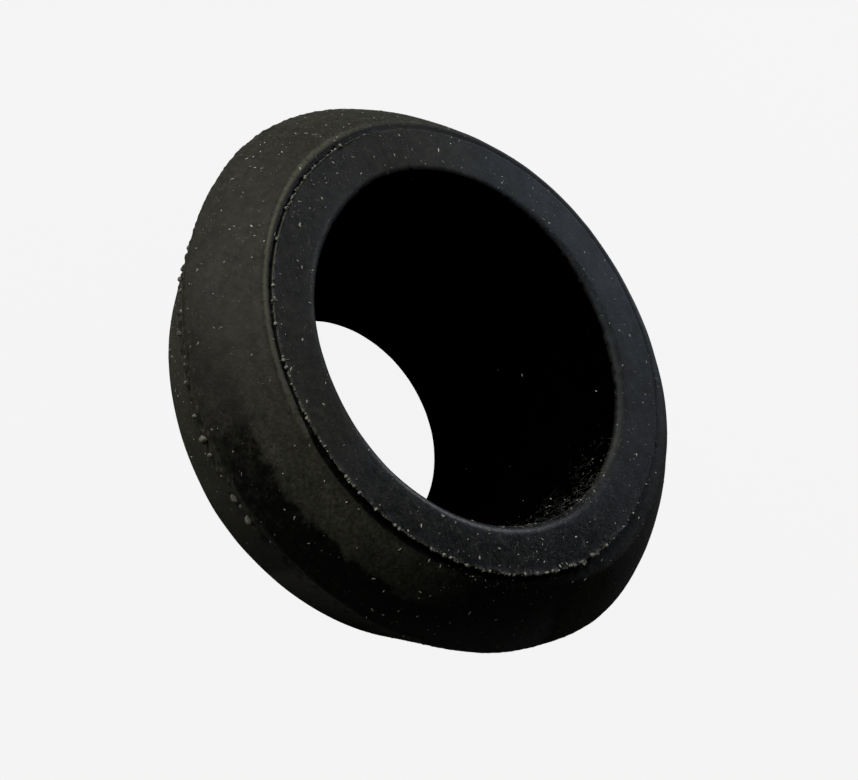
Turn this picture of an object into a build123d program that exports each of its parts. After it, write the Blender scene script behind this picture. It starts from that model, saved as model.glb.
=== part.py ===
"""Pipe sealing ring: one moulded rubber ring with a coned bore, a coned flank and a flat face at each end.

It lies on its smaller, rear face, with the wide mouth of the bore and the front face upwards.
Millimetres, +Z up along the ring's axis, origin at the centre of the rear face.
"""

import os

from build123d import *

# Heights above the rear face, along the axis.
height = 18.3
ridge_height = 13.2
band_foot_height = 5.7

# Radii from the ring's axis.
front_face_radius = 17.4
ridge_radius = 21.6
rear_face_radius = 13.4

# How much the band behind the ridge narrows, in radius, down to its foot.
band_taper = 3.0

# The bore narrows from its mouth to a short straight land, which grips the pipe.
mouth_radius = 13.9
land_radius = 9.35
land_length = 2.5

# The front face stands a step above a narrow ledge, where the two halves of the mould met.
ledge_width = 0.6
ledge_drop = 0.35

# The flank is slightly barrelled: this is how far it stands out from a straight cone.
flank_bulge = 0.32

# How far each edge is rounded.
mouth_rounding = 0.6
shoulder_rounding = 0.15
ridge_rounding = 0.35
band_foot_rounding = 1.5
rear_face_rounding = 0.8
land_rounding = 0.25

# Corners of the half section, as (radius, height).
mouth_edge = (mouth_radius, height)
face_edge = (front_face_radius, height)
ledge_root = (front_face_radius, height - ledge_drop)
shoulder = (front_face_radius + ledge_width, height - ledge_drop)
ridge = (ridge_radius, ridge_height)
band_foot = (ridge_radius - band_taper, band_foot_height)
rear_edge = (rear_face_radius, 0)
land_foot = (land_radius, 0)
land_top = (land_radius, land_length)


def edges_at(part, radius, z):
    """The circular edge of the ring that has this radius and this height."""
    return [
        edge
        for edge in part.edges().filter_by(GeomType.CIRCLE)
        if abs(edge.radius - radius) < 0.001 and abs(edge.arc_center.Z - z) < 0.001
    ]


with BuildPart() as sealing_ring:
    with BuildSketch(Plane.XZ):
        with BuildLine():
            Polyline(shoulder, ledge_root, face_edge, mouth_edge, land_top)
            Polyline(land_top, land_foot, rear_edge, band_foot, ridge)
            SagittaArc(shoulder, ridge, flank_bulge)
        make_face()
    revolve(axis=Axis.Z)
    fillet(edges_at(sealing_ring.part, *mouth_edge), radius=mouth_rounding)
    fillet(edges_at(sealing_ring.part, *shoulder), radius=shoulder_rounding)
    fillet(edges_at(sealing_ring.part, *ridge), radius=ridge_rounding)
    fillet(edges_at(sealing_ring.part, *band_foot), radius=band_foot_rounding)
    fillet(edges_at(sealing_ring.part, *rear_edge), radius=rear_face_rounding)
    fillet(edges_at(sealing_ring.part, *land_foot), radius=land_rounding)

sealing_ring.part.label = "sealing_ring"

os.makedirs("parts", exist_ok=True)
export_step(sealing_ring.part, "parts/sealing_ring.step")
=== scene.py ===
"""Looks of a moulded rubber pipe sealing ring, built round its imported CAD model.

Metres, +Z up along the ring's axis, the front face with the wide mouth of the bore upwards.
Azimuths run round that axis in degrees, from 0 at -Y through 90 at +X.
"""

import math

import bpy
from mathutils import Matrix, Vector


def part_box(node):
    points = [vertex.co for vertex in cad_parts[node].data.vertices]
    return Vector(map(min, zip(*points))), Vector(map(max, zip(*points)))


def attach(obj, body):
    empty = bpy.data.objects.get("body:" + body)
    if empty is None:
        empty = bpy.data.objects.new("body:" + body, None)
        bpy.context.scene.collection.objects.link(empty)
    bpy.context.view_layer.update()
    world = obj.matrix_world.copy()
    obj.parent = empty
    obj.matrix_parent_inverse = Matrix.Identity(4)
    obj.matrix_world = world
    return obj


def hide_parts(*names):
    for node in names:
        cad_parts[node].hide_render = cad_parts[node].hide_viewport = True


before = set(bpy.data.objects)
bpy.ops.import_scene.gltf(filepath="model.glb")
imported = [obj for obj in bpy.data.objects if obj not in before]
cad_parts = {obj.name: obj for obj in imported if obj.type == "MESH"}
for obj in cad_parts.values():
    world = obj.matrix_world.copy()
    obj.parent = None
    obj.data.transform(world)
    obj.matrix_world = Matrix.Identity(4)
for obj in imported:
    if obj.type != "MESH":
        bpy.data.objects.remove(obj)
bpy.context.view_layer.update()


# The ring itself: one piece of black EPDM rubber, pressed in a mould of two halves and a core, so it is
# a half section turned about its axis. The halves met at the small step round the front face and at the
# ridge, and what squeezed between them is left there as a ragged edge, warts and pits.

MM = 0.001

ring_low, ring_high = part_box("sealing_ring")
height = (ring_high[2] - ring_low[2]) / MM
ridge_radius = 21.6
ridge_height = 13.2
band_foot = (18.6, 5.7)
rear_face_radius = 13.4
mouth_radius = 13.9
land_radius = 9.35
land_length = 2.5
face_radius = 17.4
ledge_width = 0.6
ledge_drop = 0.35
shoulder_radius = face_radius + ledge_width
flank_bulge = 0.32

lip_width = 0.8
mouth_run = 2.4
mouth_wall_heights = (13.5, 17.6)
low_flank_heights = (16.6, 14.9)

steps_round = 820
sweep_radius = 15.0
arc_spacing = 0.13


def rounded_outline(corners):
    """Points of a closed outline, in millimetres.

    A corner is (radius, height, rounding, spacing to the next, crowding). Above 1, crowding draws the
    points of the run towards this corner.
    """
    arcs = []
    for index, (radius, z, rounding, *_) in enumerate(corners):
        here = Vector((radius, z))
        back = (Vector(corners[index - 1][:2]) - here).normalized()
        ahead = (Vector(corners[(index + 1) % len(corners)][:2]) - here).normalized()
        half = back.angle(ahead) / 2
        centre = here + (back + ahead).normalized() * rounding / math.sin(half)
        start = (here + back * rounding / math.tan(half) - centre).normalized()
        end = (here + ahead * rounding / math.tan(half) - centre).normalized()
        steps = max(2, round(rounding * start.angle(end) / arc_spacing))
        arcs.append([centre + start.slerp(end, step / steps) * rounding for step in range(steps + 1)])
    points = []
    for index, arc in enumerate(arcs):
        points += arc
        first, last = arc[-1], arcs[(index + 1) % len(arcs)][0]
        steps = max(1, round((last - first).length / corners[index][3]))
        points += [first.lerp(last, (step / steps) ** corners[index][4]) for step in range(1, steps)]
    return points


def barrelled(point):
    """The point moved out of the straight flank by the flank's bulge, if it lies on the flank."""
    top = Vector((shoulder_radius, height - ledge_drop))
    foot = Vector((ridge_radius, ridge_height))
    along = (foot - top).normalized()
    out = Vector((-along.y, along.x))
    share = (point - top).dot(along) / (foot - top).length
    if not 0 < share < 1 or abs((point - top).dot(out)) > 0.2:
        return point
    return point + out * flank_bulge * (1 - (2 * share - 1) ** 2)


section = rounded_outline(
    [
        (face_radius, height, 0.05, 0.45, 1.8),
        (mouth_radius, height, 0.85, 1.1, 1.8),
        (land_radius, land_length, 0.4, 1.0, 1),
        (land_radius, 0, 0.25, 1.6, 1),
        (rear_face_radius, 0, 0.8, 1.4, 1),
        (*band_foot, 1.5, 0.26, 1),
        (ridge_radius, ridge_height, 0.25, 0.24, 1),
        (shoulder_radius, height - ledge_drop, 0.15, 0.12, 1),
        (face_radius, height - ledge_drop, 0.05, 0.12, 1),
    ]
)
section = [barrelled(point) for point in reversed(section)]


def ramp(value, start, end):
    """0 at the start and 1 at the end, with a smooth change between. The end may lie below the start."""
    share = min(1.0, max(0.0, (value - start) / (end - start)))
    return share * share * (3 - 2 * share)


def section_weights(point):
    """What lies at a point of the section, each from 0 to 1, by the name of its attribute.

    The bead alone goes below 0, in the shallow groove beside it. Distances are in millimetres.
    """
    outer = point.x > shoulder_radius
    off_face_edge = (point - Vector((face_radius, height))).length
    off_shoulder = (point - Vector((shoulder_radius, height - ledge_drop))).length
    off_ridge = (point - Vector((ridge_radius - 0.1, ridge_height))).length
    past_mouth = (lip_width + (height - point.y) - (point.x - mouth_radius)) / mouth_run
    near_mouth = ramp(point.x, mouth_radius + 0.3, mouth_radius)
    under_edge = ramp(point.x, face_radius - 0.04, face_radius)
    on_ledge = ramp(point.x, face_radius + 0.6, face_radius + 0.4)
    groove = ramp(off_shoulder, 0.3, 0.42) * ramp(off_shoulder, 0.75, 0.55)
    lifted = 0.75 + 0.25 * ramp(point.x, face_radius + 0.05, face_radius + 0.5)
    below_face = height - 0.15 > point.y and point.x > face_radius - 0.02
    return {
        "past_mouth": min(1.0, max(0.0, past_mouth)) if point.x < mouth_radius + 1 else 0.0,
        "mouth_wall": ramp(point.y, *mouth_wall_heights) * near_mouth,
        "face": ramp(point.y, height - 0.3, height - 0.05),
        "face_edge": ramp(off_face_edge, 0.12, 0.04),
        "rise": lifted * ramp(point.y, height - 1.6, height - 0.5) if below_face else 0.0,
        "gap": under_edge * on_ledge * ramp(point.y, height - 0.08, height - 0.2),
        "shoulder": ramp(off_shoulder, 0.22, 0.06),
        "bead": ramp(off_shoulder, 0.26, 0.08) - 0.5 * groove,
        "flank": ramp(point.x, shoulder_radius - 0.1, shoulder_radius + 0.3),
        "low": ramp(point.y, *low_flank_heights) if outer else 0.0,
        "band": ramp(point.y, ridge_height + 0.1, ridge_height - 0.3) if outer else 0.0,
        "ridge_zone": ramp(abs(point.y - ridge_height + 1.2), 1.3, 0.3) if outer else 0.0,
        "ridge_edge": ramp(off_ridge, 0.3, 0.05),
    }


def section_object():
    """The half section as an edge loop, laid out as Curve to Mesh sweeps it, with its weights."""
    mesh = bpy.data.meshes.new("section")
    places = [((point.x - sweep_radius) * MM, -point.y * MM, 0) for point in section]
    mesh.from_pydata(places, [(k, (k + 1) % len(section)) for k in range(len(section))], [])
    for index, point in enumerate(section):
        for name, weight in section_weights(point).items():
            layer = mesh.attributes.get(name) or mesh.attributes.new(name, "FLOAT", "POINT")
            layer.data[index].value = weight
    holder = bpy.data.objects.new("section", mesh)
    bpy.context.collection.objects.link(holder)
    return holder


def linear(hex_colour):
    """An sRGB hex colour as linear red, green, blue and alpha."""
    shares = [int(hex_colour[k : k + 2], 16) / 255 for k in (1, 3, 5)]
    return tuple(s / 12.92 if s <= 0.04045 else ((s + 0.055) / 1.055) ** 2.4 for s in shares) + (1.0,)


def add(tree, kind, *links, **named):
    """Adds a node. links fill its inputs in order.

    In named, a name with a capital is an input, i6 is the input at index 6, and a small name is a setting.
    A link is a socket, a node, whose first output is used, or a plain value.
    """
    node = tree.nodes.new(kind)
    for name, value in named.items():
        if name[0].islower() and not name[1:].isdigit():
            setattr(node, name, value)
    inputs = dict(enumerate(links))
    for name, value in named.items():
        if name[1:].isdigit():
            inputs[int(name[1:])] = value
        elif name[0].isupper():
            inputs[name.replace("_", " ")] = value
    for key, value in inputs.items():
        if isinstance(value, bpy.types.Node):
            value = value.outputs[0]
        if isinstance(value, bpy.types.NodeSocket):
            tree.links.new(value, node.inputs[key])
        elif value is not None:
            node.inputs[key].default_value = value
    return node


def new_material(name):
    """An empty material of this name. Returns (material, its tree, its Principled node)."""
    material = bpy.data.materials.new(name)
    material.use_nodes = True
    return material, material.node_tree, material.node_tree.nodes["Principled BSDF"]


def moulded_epdm():
    """Carbon-black EPDM rubber as it comes from a satin mould, then left to gather dust.

    The rubber is near black with a soft sheen. A thin grey film of bloom and dust lies on it in patches, and
    its amount also carries painted light and shade: it is left off the flank's shadow side and the gap under
    the flash as painted shade, and thickened on the shoulder as a painted highlight and on the far face as a
    painted sheen. Torn flash is paler than the skin, partly from scuffing and partly as a painted highlight.
    The grain is drawn coarser than the mould's own, so that it shows.
    """
    material, tree, skin = new_material("epdm_rubber_moulded_satin")
    place = add(tree, "ShaderNodeTexCoord").outputs["Object"]
    cloud = add(tree, "ShaderNodeTexNoise", Vector=place, Scale=1 / (2.6 * MM), Detail=5.0, Roughness=0.62)
    blots = add(tree, "ShaderNodeTexNoise", Vector=place, Scale=1 / (0.75 * MM), Detail=3.0, Roughness=0.7)
    grain = add(tree, "ShaderNodeTexNoise", Vector=place, Scale=1 / (0.28 * MM), Detail=3.0, Roughness=0.75)
    bore = add(tree, "ShaderNodeAttribute", attribute_name="bore").outputs["Fac"]
    film = add(tree, "ShaderNodeAttribute", attribute_name="film").outputs["Fac"]
    tint = add(tree, "ShaderNodeAttribute", attribute_name="tint").outputs["Fac"]
    flash = add(tree, "ShaderNodeAttribute", attribute_name="flash").outputs["Fac"]

    # The film breaks up into clouds, blots and grains.
    clouded = add(tree, "ShaderNodeMapRange", cloud, 0.36, 0.66, 0.76, 1.2)
    dust_and_light_share = add(tree, "ShaderNodeMath", film, clouded, operation="MULTIPLY")
    blotted = add(tree, "ShaderNodeMath", blots, 0.7, -0.35, operation="MULTIPLY_ADD")
    dust_and_light_share = add(tree, "ShaderNodeMath", dust_and_light_share, blotted, operation="ADD", use_clamp=True)
    grained = add(tree, "ShaderNodeMapRange", grain, 0.34, 0.66, 0.35, 1.65)
    dust_and_light_share = add(tree, "ShaderNodeMath", dust_and_light_share, grained, operation="MULTIPLY", use_clamp=True)

    # Colours: bare rubber; film in greenish grey, turning bluish grey on the far face as a painted
    # reflection of the cool window; pale crumbly flash, partly a painted highlight; and the bore's black, a
    # painted shade.
    cool_sheen_and_green_film = (linear("#363f4a"), linear("#42423a"))
    film_and_sheen_colour = add(tree, "ShaderNodeMix", data_type="RGBA", i0=tint, i6=cool_sheen_and_green_film[0], i7=cool_sheen_and_green_film[1]).outputs[2]
    colour = add(tree, "ShaderNodeMix", data_type="RGBA", i0=dust_and_light_share, i6=linear("#030303"), i7=film_and_sheen_colour)
    # Pale flash: partly scuffing and dust, partly a painted highlight where the torn tips catch the light.
    crumbly = add(tree, "ShaderNodeMapRange", grain, 0.42, 0.6, 0.15, 1.3)
    pale_flash_and_glint = add(tree, "ShaderNodeMath", flash, crumbly, operation="MULTIPLY", use_clamp=True)
    colour = add(
        tree, "ShaderNodeMix", data_type="RGBA", i0=pale_flash_and_glint, i6=colour.outputs[2], i7=linear("#8f8f87")
    )
    # Painted shade: down the bore the colour goes near black.
    colour = add(
        tree, "ShaderNodeMix", data_type="RGBA", i0=bore, i6=colour.outputs[2], i7=linear("#020202")
    )
    tree.links.new(colour.outputs[2], skin.inputs["Base Color"])

    # The sheen: satin where the skin is bare, dull under the film and down the bore.
    satin = add(tree, "ShaderNodeMapRange", film, 0.1, 0.2, 0.42, 0.72)
    uneven = add(tree, "ShaderNodeMath", grain, 0.5, -0.25, operation="MULTIPLY_ADD")
    satin = add(tree, "ShaderNodeMath", satin, uneven, operation="ADD")
    rough = add(tree, "ShaderNodeMath", bore, 0.4, satin, operation="MULTIPLY_ADD", use_clamp=True)
    tree.links.new(rough.outputs[0], skin.inputs["Roughness"])
    skin.inputs["IOR"].default_value = 1.5
    skin.inputs["Specular IOR Level"].default_value = 0.3
    bump = add(tree, "ShaderNodeBump", Strength=0.8, Distance=0.035 * MM, Height=grain)
    tree.links.new(bump.outputs[0], skin.inputs["Normal"])
    return material


def bore_shade_epdm():
    """The same rubber in the bore, which the core left smooth, as a matt deep black without specular:
    painted shade down the bore.
    """
    material, tree, skin = new_material("epdm_rubber_bore")
    place = add(tree, "ShaderNodeTexCoord").outputs["Object"]
    cloud = add(tree, "ShaderNodeTexNoise", Vector=place, Scale=1 / (2.0 * MM), Detail=3.0)
    colour = add(
        tree, "ShaderNodeMix", data_type="RGBA", i0=cloud, i6=linear("#000000"), i7=linear("#020202")
    )
    tree.links.new(colour.outputs[2], skin.inputs["Base Color"])
    skin.inputs["Roughness"].default_value = 0.95
    skin.inputs["IOR"].default_value = 1.5
    skin.inputs["Specular IOR Level"].default_value = 0.0
    return material


def geometry_tree(name, **sizes):
    """A Geometry Nodes tree with these named inputs. Returns (tree, input node, output node)."""
    tree = bpy.data.node_groups.new(name, "GeometryNodeTree")
    tree.interface.new_socket("Geometry", in_out="INPUT", socket_type="NodeSocketGeometry")
    tree.interface.new_socket("Geometry", in_out="OUTPUT", socket_type="NodeSocketGeometry")
    kinds = {int: "NodeSocketInt", float: "NodeSocketFloat"}
    for label, value in sizes.items():
        tree.interface.new_socket(
            label.replace("_", " "), in_out="INPUT", socket_type=kinds[type(value)]
        ).default_value = value
    return tree, tree.nodes.new("NodeGroupInput"), tree.nodes.new("NodeGroupOutput")


def as_piece(source, name, tree, **sizes):
    """Runs the tree on source with these sizes, and keeps the result as a plain piece of this name."""
    modifier = source.modifiers.new(tree.name, "NODES")
    modifier.node_group = tree
    for socket in tree.interface.items_tree:
        if socket.in_out == "INPUT" and socket.name.replace(" ", "_") in sizes:
            modifier[socket.identifier] = sizes[socket.name.replace(" ", "_")]
    evaluated = source.evaluated_get(bpy.context.evaluated_depsgraph_get())
    mesh = bpy.data.meshes.new_from_object(evaluated)
    mesh.name = name
    source.modifiers.remove(modifier)
    bpy.data.objects.remove(source)
    piece = bpy.data.objects.new(name, mesh)
    bpy.context.collection.objects.link(piece)
    return piece


def share_round(tree):
    """How far round the ring a point lies, from 0 to 1, starting at -Y and turning through +X."""
    place = add(tree, "ShaderNodeSeparateXYZ", add(tree, "GeometryNodeInputPosition"))
    y_back = add(tree, "ShaderNodeMath", place.outputs["Y"], -1.0, operation="MULTIPLY")
    turn = add(tree, "ShaderNodeMath", place.outputs["X"], y_back, operation="ARCTAN2")
    share = add(tree, "ShaderNodeMath", turn, 1 / math.tau, 1.0, operation="MULTIPLY_ADD")
    return add(tree, "ShaderNodeMath", share, operation="FRACT")


def strength_round(tree, share, strengths):
    """How strong something is round the ring, from (azimuth, strength) pairs with smooth changes."""
    node = add(tree, "ShaderNodeFloatCurve", Value=share)
    curve = node.mapping.curves[0]
    for point, (azimuth, strength) in zip(curve.points, strengths):
        point.location = (azimuth / 360, strength)
    for azimuth, strength in strengths[len(curve.points) :]:
        curve.points.new(azimuth / 360, strength)
    node.mapping.update()
    return node


# How much there is round the ring, as (azimuth, strength) pairs: first of what the mould left.
flash_amount = [
    (0, 0.5), (10, 0.42), (30, 0.38), (60, 0.42), (78, 0.5), (82, 0.98), (87, 0.98), (90, 0.5),
    (98, 0.28), (120, 0.08), (200, 0.05), (258, 0.08), (272, 0.3), (295, 0.24), (315, 0.3), (345, 0.36),
    (352, 0.62), (360, 0.5),
]
ridge_flash_amount = [
    (0, 0.1), (20, 0.2), (45, 0.2), (60, 0.1), (240, 0.08), (258, 0.2), (292, 0.2), (360, 0.1),
]
bump_amount = [
    (0, 1.0), (30, 0.75), (55, 0.3), (150, 0.12), (240, 0.1), (262, 0.4), (300, 0.35), (318, 0.8),
    (360, 1.0),
]
bead_amount = [
    (0, 0.3), (20, 0.05), (100, 0.0), (150, 0.15), (240, 0.2), (270, 0.6), (290, 0.95), (340, 0.9),
    (360, 0.3),
]
shoulder_level = [
    (0, 0.25), (15, 0.0), (95, 0.0), (120, 0.5), (250, 0.7), (275, 1.0), (340, 1.0), (360, 0.25),
]
swelling = [
    (0, 0.25), (60, 0.3), (85, 0.66), (105, 0.95), (135, 0.85), (160, 0.5), (190, 0.3), (240, 0.25),
    (262, 0.4), (280, 0.4), (300, 0.2), (330, 0.12), (360, 0.25),
]

# Then of the dust's film, whose amounts also carry painted light: a painted sheen on the far face and
# painted shade on the shadow side of the flank and band;
# of where it is left off the gap under the flash as painted shade; and of its greenish tint, which turns
# bluish on the far face as a painted reflection. The last is how far past the mouth the bore's painted black
# shade begins.
face_film_and_sheen = [
    (0, 0.21), (30, 0.08), (60, 0.06), (100, 0.12), (150, 0.24), (180, 0.44), (240, 0.31), (270, 0.18),
    (300, 0.15), (330, 0.17), (360, 0.21),
]
flank_film_and_shade = [
    (0, 0.46), (15, 0.55), (30, 0.6), (45, 0.25), (60, 0.02), (78, 0.3), (92, 0.8), (180, 0.55),
    (260, 0.28), (300, 0.2), (330, 0.27), (345, 0.37), (360, 0.46),
]
low_film_and_shade = [
    (0, 0.04), (15, 0.0), (30, 0.0), (60, 0.0), (76, 0.15), (88, 0.9), (180, 0.5), (260, 0.36),
    (300, 0.24), (320, 0.17), (335, 0.19), (345, 0.18), (353, 0.08), (360, 0.04),
]
band_film_and_shade = [
    (0, 0.95), (15, 0.35), (30, 0.0), (60, 0.0), (90, 0.05), (180, 0.4), (270, 0.36), (330, 0.7),
    (360, 0.95),
]
gap_shade_amount = [(0, 1.0), (95, 1.0), (115, 0.5), (260, 0.4), (300, 0.2), (335, 0.3), (360, 1.0)]
green_film_and_cool_sheen = [(0, 1.0), (60, 0.9), (90, 0.1), (220, 0.1), (245, 0.9), (300, 1.0), (360, 1.0)]
bore_shade_start = [
    (0, 0.5), (60, 0.5), (120, 0.5), (155, 0.46), (180, 0.36), (205, 0.2), (235, 0.08), (265, 0.1),
    (285, 0.28), (360, 0.5),
]


def turned_ring_tree(skin, bore_shade_skin):
    """Turns the section about the axis, roughens the skin, and raises the flash, the warts and the pits."""
    tree, given, result = geometry_tree(
        "Turned ring",
        Steps_round=12,
        Sweep_radius=1.0,
        Skin_relief=0.0,
        Wart_spacing=1.0,
        Wart_height=0.0,
        Flash_tooth=1.0,
        Flash_reach=0.0,
        Swelling=0.0,
        Shoulder_rise=0.0,
        Bead_height=0.0,
        Seed=0.0,
    )
    size = given.outputs
    profile = add(tree, "GeometryNodeMeshToCurve", size["Geometry"])
    circle = add(
        tree,
        "GeometryNodeCurvePrimitiveCircle",
        Resolution=size["Steps round"],
        Radius=size["Sweep radius"],
    )
    turned = add(tree, "GeometryNodeCurveToMesh", circle, profile)
    around = share_round(tree)
    position = add(tree, "GeometryNodeInputPosition")
    normal = add(tree, "GeometryNodeInputNormal")
    names = ["past_mouth", "face_edge", "rise", "gap", "shoulder", "bead", "flank", "low", "band"]
    weight = {}
    for name in names + ["ridge_zone", "ridge_edge"]:
        weight[name] = add(tree, "GeometryNodeInputNamedAttribute", Name=name).outputs[0]

    # Flash: torn into teeth, longest in one thick scrap, and gone where the halves closed tight.
    tooth_scale = add(tree, "ShaderNodeMath", 1.0, size["Flash tooth"], operation="DIVIDE")
    teeth = add(
        tree,
        "ShaderNodeTexNoise",
        noise_dimensions="4D",
        W=size["Seed"],
        Scale=tooth_scale,
        Detail=3.0,
        Roughness=0.6,
    )
    torn = add(tree, "ShaderNodeMapRange", teeth, 0.4, 0.62, 0.12, 1.0)
    amount = strength_round(tree, around, flash_amount)
    flash = add(tree, "ShaderNodeMath", torn, amount, operation="MULTIPLY")
    flash = add(tree, "ShaderNodeMath", flash, weight["face_edge"], operation="MULTIPLY")

    # The film of dust, whose amounts also carry painted light and shade: thin on the face, thicker towards
    # the far side as a painted sheen, thick on the flank on one side, and left off low down on the other as
    # painted shade, with a straying border. It is thickened on the bead as a painted highlight, and left off
    # the gap under the flash as painted shade.
    straying = add(tree, "ShaderNodeTexNoise", Scale=1 / (1.1 * MM), Detail=4.0, Roughness=0.7)
    strayed = add(tree, "ShaderNodeMath", straying, 1.8, weight["low"], operation="MULTIPLY_ADD")
    low = add(
        tree, "ShaderNodeMapRange", strayed, 1.2, 1.6, 0.0, 1.0, interpolation_type="SMOOTHSTEP"
    )
    film = strength_round(tree, around, face_film_and_sheen)
    for share, strengths in ((weight["flank"], flank_film_and_shade), (low, low_film_and_shade), (weight["band"], band_film_and_shade)):
        over = strength_round(tree, around, strengths)
        film = add(tree, "ShaderNodeMix", data_type="FLOAT", i0=share, i2=film, i3=over)
    # Painted highlight: extra film along the shoulder draws a pale line where it catches the light.
    beads = strength_round(tree, around, bead_amount)
    shoulder_highlight = add(tree, "ShaderNodeMath", beads, weight["shoulder"], operation="MULTIPLY")
    film = add(tree, "ShaderNodeMath", film, shoulder_highlight, operation="ADD")
    # Painted shade: the film is left off the gap under the flash, so it goes near black there.
    gap_shade = strength_round(tree, around, gap_shade_amount)
    gap_shade = add(tree, "ShaderNodeMath", gap_shade, weight["gap"], operation="MULTIPLY")
    unshaded = add(tree, "ShaderNodeMath", 1.0, gap_shade, operation="SUBTRACT")
    film = add(tree, "ShaderNodeMath", film, unshaded, operation="MULTIPLY")
    # Painted reflection: the face's film turns bluish grey on the far side, where the cool window would be
    # reflected.
    tint = strength_round(tree, around, green_film_and_cool_sheen)
    tint = add(tree, "ShaderNodeMix", data_type="FLOAT", i0=weight["flank"], i2=tint, i3=1.0)

    # Painted shade: the bore's black begins at a ragged line, nearer the mouth where its edge faces away
    # from the light.
    ragged = add(tree, "ShaderNodeTexNoise", Scale=1 / (0.5 * MM), Detail=2.0, Roughness=0.6)
    ragged = add(tree, "ShaderNodeMath", ragged, 0.22, -0.11, operation="MULTIPLY_ADD")
    past = add(tree, "ShaderNodeMath", weight["past_mouth"], ragged, operation="ADD")
    shade_from = strength_round(tree, around, bore_shade_start)
    shade_to = add(tree, "ShaderNodeMath", shade_from, 0.16, operation="ADD")
    bore = add(
        tree,
        "ShaderNodeMapRange",
        past,
        shade_from,
        shade_to,
        0.0,
        1.0,
        interpolation_type="SMOOTHSTEP",
    )
    marked = turned
    for name, value in (("flash", flash), ("film", film), ("tint", tint), ("bore", bore)):
        marked = add(
            tree,
            "GeometryNodeStoreNamedAttribute",
            marked,
            Name=name,
            Value=value,
            data_type="FLOAT",
            domain="POINT",
        )

    # Skin: slow unevenness, finer ripples, and warts and pits in a row behind the ridge.
    slow = add(
        tree,
        "ShaderNodeTexNoise",
        noise_dimensions="4D",
        W=size["Seed"],
        Scale=1 / (7 * MM),
        Detail=2.0,
    )
    fine = add(tree, "ShaderNodeTexNoise", Scale=1 / (1.5 * MM), Detail=2.0)
    waves = add(tree, "ShaderNodeMath", fine, 0.22, slow, operation="MULTIPLY_ADD")
    relief = add(tree, "ShaderNodeMath", waves, 0.61, operation="SUBTRACT")
    relief = add(tree, "ShaderNodeMath", relief, size["Skin relief"], operation="MULTIPLY")
    wart_scale = add(tree, "ShaderNodeMath", 1.0, size["Wart spacing"], operation="DIVIDE")
    warts = add(tree, "ShaderNodeTexVoronoi", Scale=wart_scale, Randomness=0.85)
    aside = add(tree, "ShaderNodeVectorMath", position, (0.05, 0.02, 0.07), operation="ADD")
    pits = add(tree, "ShaderNodeTexVoronoi", Vector=aside, Scale=wart_scale, Randomness=0.85)
    raised = add(
        tree, "ShaderNodeMapRange", warts, 0.42, 0.12, 0.0, 1.0, interpolation_type="SMOOTHSTEP"
    )
    sunk = add(
        tree, "ShaderNodeMapRange", pits, 0.42, 0.12, 0.0, 0.8, interpolation_type="SMOOTHSTEP"
    )
    bumps = add(tree, "ShaderNodeMath", raised, sunk, operation="SUBTRACT")
    here = strength_round(tree, around, bump_amount)
    here = add(tree, "ShaderNodeMath", here, weight["ridge_zone"], operation="MULTIPLY")
    bumps = add(tree, "ShaderNodeMath", bumps, here, operation="MULTIPLY")
    bumps = add(tree, "ShaderNodeMath", bumps, size["Wart height"], relief, operation="MULTIPLY_ADD")
    push = add(tree, "ShaderNodeVectorMath", normal, Scale=bumps, operation="SCALE")

    # The flash stands outwards and curls up. The ridge has a thinner line of it.
    place = add(tree, "ShaderNodeSeparateXYZ", position)
    flat = add(tree, "ShaderNodeCombineXYZ", place.outputs["X"], place.outputs["Y"], 0.0)
    outwards = add(tree, "ShaderNodeVectorMath", flat, operation="NORMALIZE")
    curl = add(tree, "ShaderNodeTexNoise", Scale=1 / (1.3 * MM), Detail=1.0)
    up = add(tree, "ShaderNodeMapRange", curl, 0.35, 0.65, 0.0, 0.6)
    upwards = add(tree, "ShaderNodeCombineXYZ", Z=up)
    direction = add(tree, "ShaderNodeVectorMath", outwards, upwards, operation="ADD")
    ridge_flash = strength_round(tree, around, ridge_flash_amount)
    ridge_flash = add(tree, "ShaderNodeMath", ridge_flash, torn, operation="MULTIPLY")
    ridge_flash = add(tree, "ShaderNodeMath", ridge_flash, weight["ridge_edge"], operation="MULTIPLY")
    both = add(tree, "ShaderNodeMath", flash, ridge_flash, operation="ADD")
    reach = add(tree, "ShaderNodeMath", both, size["Flash reach"], operation="MULTIPLY")
    stretch = add(tree, "ShaderNodeVectorMath", direction, Scale=reach, operation="SCALE")

    # The soft ring isn't quite round outside the step: it bulges on one side.
    swell = strength_round(tree, around, swelling)
    swell = add(tree, "ShaderNodeMath", swell, 0.2, operation="SUBTRACT")
    swell = add(tree, "ShaderNodeMath", swell, weight["flank"], operation="MULTIPLY")
    swell = add(tree, "ShaderNodeMath", swell, size["Swelling"], operation="MULTIPLY")
    swollen = add(tree, "ShaderNodeVectorMath", outwards, Scale=swell, operation="SCALE")

    # On the other side a fine bead of rubber follows the shoulder, with a shallow groove outside it.
    bead = add(tree, "ShaderNodeMath", beads, weight["bead"], operation="MULTIPLY")
    bead = add(tree, "ShaderNodeMath", bead, size["Bead height"], operation="MULTIPLY")
    beaded = add(tree, "ShaderNodeVectorMath", normal, Scale=bead, operation="SCALE")
    swollen = add(tree, "ShaderNodeVectorMath", swollen, beaded, operation="ADD")

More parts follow.
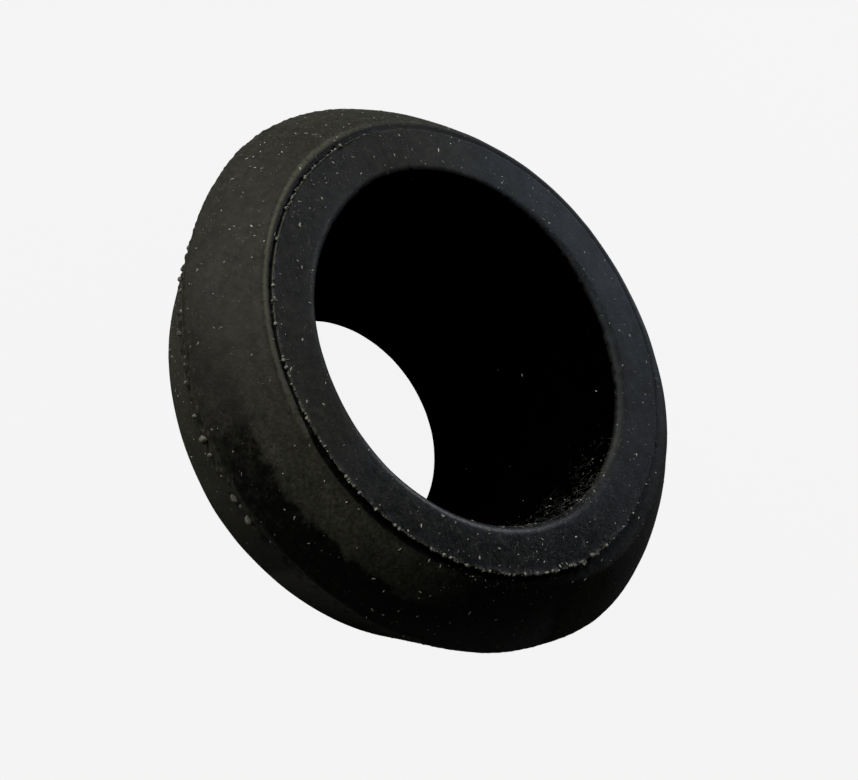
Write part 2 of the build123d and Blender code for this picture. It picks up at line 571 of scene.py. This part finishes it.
    # The halves met slightly askew, so that the shoulder rises almost to the face on one side.
    level = strength_round(tree, around, shoulder_level)
    level = add(tree, "ShaderNodeMath", level, weight["rise"], operation="MULTIPLY")
    level = add(tree, "ShaderNodeMath", level, size["Shoulder rise"], operation="MULTIPLY")
    lift = add(tree, "ShaderNodeCombineXYZ", Z=level)
    swollen = add(tree, "ShaderNodeVectorMath", swollen, lift, operation="ADD")
    offset = add(tree, "ShaderNodeVectorMath", push, stretch, operation="ADD")
    offset = add(tree, "ShaderNodeVectorMath", offset, swollen, operation="ADD")
    shaped = add(tree, "GeometryNodeSetPosition", marked, Offset=offset)

    smooth = add(tree, "GeometryNodeSetShadeSmooth", shaped)
    real = add(tree, "GeometryNodeRealizeInstances", smooth)
    outside = add(tree, "GeometryNodeSetMaterial", real, Material=skin)
    # The bore's painted shade gets its own matt black material.
    stored_bore_shade = add(tree, "GeometryNodeInputNamedAttribute", Name="bore")
    in_bore_shade = add(tree, "ShaderNodeMath", stored_bore_shade, 0.97, operation="GREATER_THAN")
    both_skins = add(
        tree, "GeometryNodeSetMaterial", outside, Selection=in_bore_shade, Material=bore_shade_skin
    )
    tree.links.new(both_skins.outputs[0], result.inputs[0])
    return tree


moulded_ring = as_piece(
    section_object(),
    "moulded_ring",
    turned_ring_tree(moulded_epdm(), bore_shade_epdm()),
    Steps_round=steps_round,
    Sweep_radius=sweep_radius * MM,
    Skin_relief=0.16 * MM,
    Wart_spacing=0.95 * MM,
    Wart_height=0.3 * MM,
    Flash_tooth=0.42 * MM,
    Flash_reach=0.45 * MM,
    Swelling=1.0 * MM,
    Shoulder_rise=0.3 * MM,
    Bead_height=0.13 * MM,
    Seed=7.0,
)
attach(moulded_ring, "root")
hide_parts("sealing_ring")


# Crumbs and warts: bits of rubber that tore as the mould opened and stuck along the face edge, and round
# warts where it ran into the air vents just behind the ridge. They are the ring's own rubber, scuffed paler;
# on the crumbs the paleness is partly a painted highlight where the torn bits catch the light.

crumb_round = [
    (0, 0.8), (20, 0.7), (50, 0.95), (90, 0.95), (105, 0.3), (125, 0.02), (255, 0.02), (268, 0.6),
    (300, 0.5), (315, 0.25), (340, 0.55), (360, 0.8),
]
wart_round = [
    (0, 0.9), (14, 0.6), (24, 0.0), (235, 0.0), (280, 0.02), (298, 0.3), (315, 0.75), (360, 0.9),
]


def nub_tree(name, material, strengths, blob, paleness):
    """Blobs in a ragged row round the ring, each its own size, with gaps where the strength is low."""
    tree, given, result = geometry_tree(
        name,
        Count=1,
        Row_radius=0.0,
        Row_height=0.0,
        Scatter=0.0,
        Smallest=0.0,
        Largest=0.0,
        Flatness=1.0,
        Seed=1,
    )
    size = given.outputs
    circle = add(tree, "GeometryNodeCurvePrimitiveCircle", Resolution=360, Radius=size["Row radius"])
    points = add(tree, "GeometryNodeCurveToPoints", circle, size["Count"])
    low = add(tree, "ShaderNodeMath", size["Scatter"], -1.0, operation="MULTIPLY")
    least = add(tree, "ShaderNodeCombineXYZ", low, low, low)
    most = add(tree, "ShaderNodeCombineXYZ", size["Scatter"], size["Scatter"], size["Scatter"])
    astray = add(
        tree, "FunctionNodeRandomValue", data_type="FLOAT_VECTOR", i0=least, i1=most, Seed=size["Seed"]
    )
    lift = add(tree, "ShaderNodeCombineXYZ", Z=size["Row height"])
    moved = add(tree, "ShaderNodeVectorMath", astray, lift, operation="ADD")
    row = add(tree, "GeometryNodeSetPosition", points, Offset=moved)
    chance = add(tree, "FunctionNodeRandomValue", data_type="FLOAT", i2=0.0, i3=1.0, Seed=31)
    likely = strength_round(tree, share_round(tree), strengths)
    present = add(tree, "ShaderNodeMath", chance.outputs[1], likely, operation="LESS_THAN")
    chosen = add(tree, "FunctionNodeRandomValue", data_type="FLOAT", i2=0.0, i3=1.0, Seed=32)
    mostly_small = add(tree, "ShaderNodeMath", chosen.outputs[1], 2.2, operation="POWER")
    radius = add(tree, "ShaderNodeMapRange", mostly_small, 0.0, 1.0, size["Smallest"], size["Largest"])
    stretch = add(
        tree,
        "FunctionNodeRandomValue",
        data_type="FLOAT_VECTOR",
        i0=(0.75, 0.75, 0.8),
        i1=(1.25, 1.25, 1.2),
        Seed=33,
    )
    flat = add(tree, "ShaderNodeCombineXYZ", 1.0, 1.0, size["Flatness"])
    shape = add(tree, "ShaderNodeVectorMath", stretch, flat, operation="MULTIPLY")
    scale = add(tree, "ShaderNodeVectorMath", shape, Scale=radius, operation="SCALE")
    blobs = add(tree, "GeometryNodeInstanceOnPoints", row, present, blob(tree), Scale=scale)
    real = add(tree, "GeometryNodeRealizeInstances", blobs)
    for attribute, value in (("film", 0.8), ("tint", 1.0), ("flash", paleness)):
        real = add(
            tree,
            "GeometryNodeStoreNamedAttribute",
            real,
            Name=attribute,
            Value=value,
            data_type="FLOAT",
            domain="POINT",
        )
    smooth = add(tree, "GeometryNodeSetShadeSmooth", real)
    painted = add(tree, "GeometryNodeSetMaterial", smooth, Material=material)
    tree.links.new(painted.outputs[0], result.inputs[0])
    return tree


def angular_blob(tree):
    """A crumb: a ball of twenty flat faces."""
    return add(tree, "GeometryNodeMeshIcoSphere", Radius=1.0, Subdivisions=1)


def round_blob(tree):
    """A wart: a rounder ball."""
    return add(tree, "GeometryNodeMeshUVSphere", Segments=10, Rings=6, Radius=1.0)


def nothing_yet(name):
    """An object with an empty mesh, for a tree that makes its own points."""
    holder = bpy.data.objects.new(name, bpy.data.meshes.new(name))
    bpy.context.collection.objects.link(holder)
    return holder


rubber = moulded_ring.data.materials[0]
flash_crumbs = as_piece(
    nothing_yet("crumb_source"),
    "flash_crumbs",
    nub_tree("Crumbs", rubber, crumb_round, angular_blob, 1.0),
    Count=560,
    Row_radius=(face_radius + 0.04) * MM,
    Row_height=(height - 0.02) * MM,
    Scatter=0.06 * MM,
    Smallest=0.04 * MM,
    Largest=0.19 * MM,
    Flatness=0.7,
    Seed=41,
)
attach(flash_crumbs, "root")

vent_warts = as_piece(
    nothing_yet("wart_source"),
    "vent_warts",
    nub_tree("Warts", rubber, wart_round, round_blob, 0.55),
    Count=150,
    Row_radius=(ridge_radius - 0.6) * MM,
    Row_height=(ridge_height - 1.4) * MM,
    Scatter=0.25 * MM,
    Smallest=0.18 * MM,
    Largest=0.5 * MM,
    Flatness=0.9,
    Seed=43,
)
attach(vent_warts, "root")


# Dust: thousands of pale grains and flakes of paper and skin, most of them too small to tell apart. They
# cling to the rubber, which holds a charge.

def pale_dust():
    """Household dust, a matt mixed grey."""
    material, tree, skin = new_material("household_dust")
    place = add(tree, "ShaderNodeTexCoord").outputs["Object"]
    mixed = add(tree, "ShaderNodeTexNoise", Vector=place, Scale=1 / (1.1 * MM), Detail=1.0)
    share = add(tree, "ShaderNodeMapRange", mixed, 0.35, 0.65, 0.0, 1.0)
    colour = add(
        tree, "ShaderNodeMix", data_type="RGBA", i0=share, i6=linear("#595954"), i7=linear("#c4c4bd")
    )
    tree.links.new(colour.outputs[2], skin.inputs["Base Color"])
    skin.inputs["Roughness"].default_value = 0.9
    return material


mouth_dust_round = [(0, 0.0), (40, 0.1), (58, 0.9), (90, 1.0), (118, 0.35), (135, 0.02), (360, 0.0)]
dust_round = [
    (0, 0.35), (30, 0.45), (45, 0.9), (75, 0.95), (100, 0.6), (180, 0.4), (240, 0.6), (270, 1.0),
    (300, 0.85), (330, 0.45), (360, 0.35),
]


def skin_copy(name):
    """A copy of the ring to spread things over."""
    holder = bpy.data.objects.new(name, moulded_ring.data.copy())
    bpy.context.collection.objects.link(holder)
    return holder


def dust_tree(material):
    """Grains strewn over the skin, most of them very small, each turned and stretched its own way."""
    tree, given, result = geometry_tree(
        "Dust", Grains_per_square_metre=0.0, Smallest_grain=0.0, Largest_grain=0.0, Seed=1
    )
    size = given.outputs
    around = share_round(tree)
    face = add(tree, "GeometryNodeInputNamedAttribute", Name="face")
    bore = add(tree, "GeometryNodeInputNamedAttribute", Name="bore")
    wall = add(tree, "GeometryNodeInputNamedAttribute", Name="mouth_wall")
    thicker = add(tree, "ShaderNodeMapRange", face, 0.0, 1.0, 0.6, 1.0)
    open_skin = add(tree, "ShaderNodeMapRange", bore, 0.0, 1.0, 1.0, 0.03)
    amount = strength_round(tree, around, dust_round)
    amount = add(tree, "ShaderNodeMath", amount, thicker, operation="MULTIPLY")
    amount = add(tree, "ShaderNodeMath", amount, open_skin, operation="MULTIPLY")
    inside = strength_round(tree, around, mouth_dust_round)
    inside = add(tree, "ShaderNodeMath", wall, inside, operation="MULTIPLY")
    amount = add(tree, "ShaderNodeMath", inside, 0.8, amount, operation="MULTIPLY_ADD")
    density = add(tree, "ShaderNodeMath", amount, size["Grains per square metre"], operation="MULTIPLY")
    spread = add(
        tree, "GeometryNodeDistributePointsOnFaces", size["Geometry"], Density=density, Seed=size["Seed"]
    )
    chance = add(tree, "FunctionNodeRandomValue", data_type="FLOAT", i2=0.0, i3=1.0, Seed=3)
    rare = add(tree, "ShaderNodeMath", chance.outputs[1], 8.0, operation="POWER")
    grain = add(tree, "ShaderNodeMapRange", rare, 0.0, 1.0, size["Smallest grain"], size["Largest grain"])
    stretch = add(
        tree,
        "FunctionNodeRandomValue",
        data_type="FLOAT_VECTOR",
        i0=(0.6, 0.4, 0.3),
        i1=(2.2, 0.9, 0.6),
        Seed=4,
    )
    scale = add(tree, "ShaderNodeVectorMath", stretch, Scale=grain, operation="SCALE")
    spin = add(tree, "FunctionNodeRandomValue", data_type="FLOAT", i2=0.0, i3=math.tau, Seed=5)
    turn = add(tree, "ShaderNodeCombineXYZ", 0.0, 0.0, spin.outputs[1])
    turn = add(tree, "FunctionNodeEulerToRotation", turn)
    upright = spread.outputs["Rotation"]
    lying = add(tree, "FunctionNodeRotateRotation", upright, turn, rotation_space="LOCAL")
    flake = add(tree, "GeometryNodeMeshIcoSphere", Radius=1.0, Subdivisions=1)
    strewn = add(
        tree, "GeometryNodeInstanceOnPoints", spread, Instance=flake, Rotation=lying, Scale=scale
    )
    real = add(tree, "GeometryNodeRealizeInstances", strewn)
    painted = add(tree, "GeometryNodeSetMaterial", real, Material=material)
    tree.links.new(painted.outputs[0], result.inputs[0])
    return tree


dust = as_piece(
    skin_copy("dust_source"),
    "dust",
    dust_tree(pale_dust()),
    Grains_per_square_metre=6.0e6,
    Smallest_grain=0.016 * MM,
    Largest_grain=0.105 * MM,
    Seed=11,
)
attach(dust, "root")


# Lint: short curled fibres of cloth and paper, finer than a hair. They lie here and there on the face and
# the flank, and gather in a patch just inside the mouth.

def cloth_lint():
    """Cotton and paper fibres, off white and see-through, so they read as grey, and darker down the bore as
    painted shade.
    """
    material, tree, skin = new_material("cotton_lint")
    place = add(tree, "ShaderNodeTexCoord").outputs["Object"]
    mixed = add(tree, "ShaderNodeTexNoise", Vector=place, Scale=1 / (0.9 * MM), Detail=1.0)
    share = add(tree, "ShaderNodeMapRange", mixed, 0.42, 0.7, 0.0, 1.0)
    rise = add(tree, "ShaderNodeSeparateXYZ", place).outputs["Z"]
    # Painted shade: fibres lower down the bore are darker.
    bore_depth_shade = add(tree, "ShaderNodeMapRange", rise, (height - 2.5) * MM, (height - 0.4) * MM, 0.15, 1.0)
    share = add(tree, "ShaderNodeMath", share, bore_depth_shade, operation="MULTIPLY")
    colour = add(
        tree, "ShaderNodeMix", data_type="RGBA", i0=share, i6=linear("#191918"), i7=linear("#85857f")
    )
    tree.links.new(colour.outputs[2], skin.inputs["Base Color"])
    skin.inputs["Roughness"].default_value = 0.8
    return material


lint_round = [
    (0, 0.3), (45, 0.6), (75, 0.8), (110, 0.5), (180, 0.2), (250, 0.4), (300, 0.6), (330, 0.4), (360, 0.3),
]


def lint_tree(material):
    """Fibres strewn over the skin, bent by a noise, laid back on the skin and given their thickness."""
    tree, given, result = geometry_tree(
        "Lint", Fibres_per_square_metre=0.0, Fibre_length=0.0, Fibre_radius=0.0, Curl=0.0, Seed=1
    )
    size = given.outputs
    around = share_round(tree)
    face = add(tree, "GeometryNodeInputNamedAttribute", Name="face")
    wall = add(tree, "GeometryNodeInputNamedAttribute", Name="mouth_wall")
    flank = add(tree, "GeometryNodeInputNamedAttribute", Name="flank")
    outside = add(tree, "ShaderNodeMath", flank, 0.25, face, operation="MULTIPLY_ADD")
    scattered = strength_round(tree, around, lint_round)
    outside = add(tree, "ShaderNodeMath", outside, scattered, operation="MULTIPLY")
    inside = strength_round(tree, around, mouth_dust_round)
    inside = add(tree, "ShaderNodeMath", wall, inside, operation="MULTIPLY")
    amount = add(tree, "ShaderNodeMath", inside, 12.0, outside, operation="MULTIPLY_ADD")
    density = add(tree, "ShaderNodeMath", amount, size["Fibres per square metre"], operation="MULTIPLY")
    spread = add(
        tree, "GeometryNodeDistributePointsOnFaces", size["Geometry"], Density=density, Seed=size["Seed"]
    )
    line = add(tree, "GeometryNodeCurvePrimitiveLine", Start=(-0.5, 0, 0), End=(0.5, 0, 0))
    fibre = add(tree, "GeometryNodeResampleCurve", line, Count=12)
    spin = add(tree, "FunctionNodeRandomValue", data_type="FLOAT", i2=0.0, i3=math.tau, Seed=5)
    turn = add(tree, "ShaderNodeCombineXYZ", 0.0, 0.0, spin.outputs[1])
    turn = add(tree, "FunctionNodeEulerToRotation", turn)
    upright = spread.outputs["Rotation"]
    lying = add(tree, "FunctionNodeRotateRotation", upright, turn, rotation_space="LOCAL")
    share = add(tree, "FunctionNodeRandomValue", data_type="FLOAT", i2=0.25, i3=1.6, Seed=6)
    length = add(tree, "ShaderNodeMath", share.outputs[1], size["Fibre length"], operation="MULTIPLY")
    strewn = add(tree, "GeometryNodeInstanceOnPoints", spread, Instance=fibre, Rotation=lying, Scale=length)
    real = add(tree, "GeometryNodeRealizeInstances", strewn)
    noise = add(tree, "ShaderNodeTexNoise", Scale=1 / (0.7 * MM), Detail=1.0)
    noise = noise.outputs["Color"]
    centred = add(tree, "ShaderNodeVectorMath", noise, (0.5, 0.5, 0.5), operation="SUBTRACT")
    curl = add(tree, "ShaderNodeVectorMath", centred, Scale=size["Curl"], operation="SCALE")
    bent = add(tree, "GeometryNodeSetPosition", real, Offset=curl)
    nearest = add(tree, "GeometryNodeProximity", size["Geometry"], target_element="FACES")
    laid = add(tree, "GeometryNodeSetPosition", bent, Position=nearest)
    ring_outline = add(tree, "GeometryNodeCurvePrimitiveCircle", Resolution=4, Radius=size["Fibre radius"])
    thick = add(tree, "GeometryNodeCurveToMesh", laid, ring_outline, Fill_Caps=True)
    painted = add(tree, "GeometryNodeSetMaterial", thick, Material=material)
    tree.links.new(painted.outputs[0], result.inputs[0])
    return tree


lint = as_piece(
    skin_copy("lint_source"),
    "lint",
    lint_tree(cloth_lint()),
    Fibres_per_square_metre=0.55e6,
    Fibre_length=0.6 * MM,
    Fibre_radius=0.007 * MM,
    Curl=0.9 * MM,
    Seed=21,
)
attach(lint, "root")


# The table top: a plain pale sheet that the ring lies on, and the light that falls on it, from a large
# window on the left and a small cool one behind. The room is dim, and white only to the eye.

def pale_sheet():
    """Matt pale card. To the camera it is nearly white, and it keeps the ring's shadow."""
    material, tree, skin = new_material("matt_card")
    skin.inputs["Base Color"].default_value = linear("#707070")
    skin.inputs["Roughness"].default_value = 0.9
    path = add(tree, "ShaderNodeLightPath").outputs
    straight, through = path["Is Camera Ray"], path["Is Transmission Ray"]
    seen = add(tree, "ShaderNodeMath", straight, through, operation="MAXIMUM")
    white = add(tree, "ShaderNodeEmission", Color=(1, 1, 1, 1), Strength=1.0)
    share = add(tree, "ShaderNodeMath", seen, 0.9, operation="MULTIPLY")
    mixed = add(tree, "ShaderNodeMixShader", share, skin, white)
    tree.links.new(mixed.outputs[0], tree.nodes["Material Output"].inputs["Surface"])
    return material


half_sheet = 3.0
floor_corners = [(x * half_sheet, y * half_sheet, 0) for x, y in ((-1, -1), (1, -1), (1, 1), (-1, 1))]
floor_mesh = bpy.data.meshes.new("floor")
floor_mesh.from_pydata(floor_corners, [], [(0, 1, 2, 3)])
floor = bpy.data.objects.new("floor", floor_mesh)
bpy.context.collection.objects.link(floor)
floor_mesh.materials.append(pale_sheet())


def toward(azimuth, elevation):
    """The unit direction from the ring at this azimuth and elevation, in degrees."""
    turn, rise = math.radians(azimuth), math.radians(elevation)
    return Vector((math.sin(turn) * math.cos(rise), -math.cos(turn) * math.cos(rise), math.sin(rise)))


def soft_window(name, azimuth, elevation, distance, width, tall, brightness, colour):
    """A rectangular lamp that faces the ring and isn't seen itself, placed in degrees and metres.

    brightness is how bright a white sheet that faces the lamp looks where the ring lies.
    """
    lamp = bpy.data.lights.new(name, "AREA")
    lamp.shape = "RECTANGLE"
    lamp.size, lamp.size_y = width, tall
    lamp.energy = brightness * (math.pi * distance) ** 2
    lamp.color = linear(colour)[:3]
    holder = bpy.data.objects.new(name, lamp)
    holder.location = toward(azimuth, elevation) * distance
    holder.rotation_euler = toward(azimuth, elevation).to_track_quat("Z", "Y").to_euler()
    holder.visible_camera = False
    bpy.context.collection.objects.link(holder)


soft_window(
    "window_left",
    azimuth=284,
    elevation=30,
    distance=0.4,
    width=0.24,
    tall=0.16,
    brightness=1.0,
    colour="#fffcf0",
)
soft_window(
    "window_back",
    azimuth=186,
    elevation=27,
    distance=0.12,
    width=0.05,
    tall=0.03,
    brightness=0.28,
    colour="#e3eaf8",
)

world = bpy.data.worlds.new("room")
world.use_nodes = True
bpy.context.scene.world = world
room = world.node_tree
dim = room.nodes["Background"]
dim.inputs["Color"].default_value = linear("#ffffff")
dim.inputs["Strength"].default_value = 0.015
plain = add(room, "ShaderNodeBackground", Color=(1, 1, 1, 1), Strength=1.0)
seen = add(room, "ShaderNodeLightPath").outputs["Is Camera Ray"]
choice = add(room, "ShaderNodeMixShader", seen, dim, plain)
room.links.new(choice.outputs[0], room.nodes["World Output"].inputs["Surface"])


# The camera: 14 cm off, above the ring and in front of it, and rolled so that the ring leans up to the
# right. Its place is in millimetres, and its turns are in degrees.

camera_place = Vector((1.01, -99.8, height + 98.3)) * MM
camera_tilt = 43.5
camera_roll = 58.6
camera_lens = 80.643

camera_data = bpy.data.cameras.new("camera")
camera_data.sensor_width = 36.0
camera_data.lens = camera_lens
camera_data.clip_start = 0.005
camera = bpy.data.objects.new("camera", camera_data)
camera.matrix_world = (
    Matrix.Translation(camera_place)
    @ Matrix.Rotation(math.radians(camera_tilt), 4, "X")
    @ Matrix.Rotation(math.radians(camera_roll), 4, "Z")
)
bpy.context.collection.objects.link(camera)
bpy.context.scene.camera = camera
bpy.context.scene.view_settings.view_transform = "Standard"
